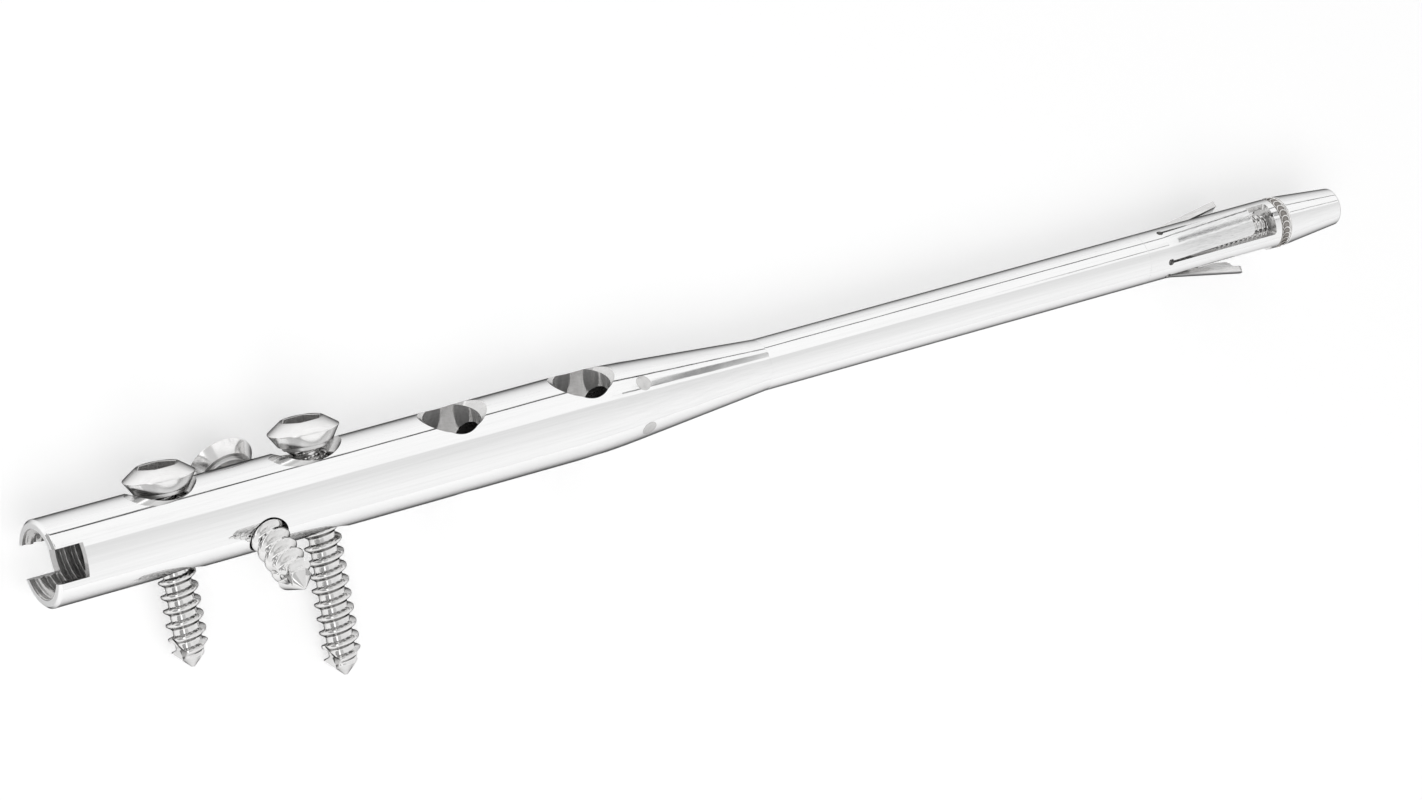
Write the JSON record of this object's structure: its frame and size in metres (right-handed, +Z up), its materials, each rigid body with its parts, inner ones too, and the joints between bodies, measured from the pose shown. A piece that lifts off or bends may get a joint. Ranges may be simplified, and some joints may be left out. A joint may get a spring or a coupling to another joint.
{
  "type": "fibular nail",
  "caption": "Cannulated steel nail for the fibula, with locking screws at the driving end and spread talons worked by an inner screw at the nose end.",
  "frame": {"origin": "centre of the driving-end face, on the nail's axis", "axes": "+X along the nail from the driving end to the nose, +Z up as the nail lies at rest on a table"},
  "size_m": [0.11, 0.0178, 0.0101],
  "materials": {
    "polished_steel": "mirror polished",
    "sleeve_steel": "polished, brushed where the talons bend",
    "screw_steel": "bright turned",
    "satin_steel": "satin",
    "weld_metal": "as welded, lightly tinted by heat"
  },
  "bodies": {
    "nail": {"driving_end_body": "polished_steel", "plug_welds": "weld_metal", "shaft_tube": "polished_steel", "talon_sleeve": "sleeve_steel", "nose_cone": "polished_steel", "nose_weld_seam": "weld_metal", "actuator_bush": "satin_steel", "locking_screw_1": "screw_steel", "locking_screw_2": "screw_steel", "locking_screw_3": "screw_steel"},
    "actuator": {"actuator_screw": "screw_steel", "retaining_collar": "satin_steel"},
    "ramp_nut": {"expander": "satin_steel"}
  },
  "joints": [
    {"name": "actuator_spin", "type": "hinge", "parent": "nail", "child": "actuator", "pos_m": [0.0925, 0, 0], "axis": [1, 0, 0], "range_deg": [-4162.5, 0]},
    {"name": "expander_slide", "type": "slide", "parent": "nail", "child": "ramp_nut", "axis": [1, 0, 0], "range_m": [0, 0.0052]}
  ],
  "couplings": [
    {"joint": "actuator_spin", "follows": "expander_slide", "rad_per_m": -13963}
  ]
}
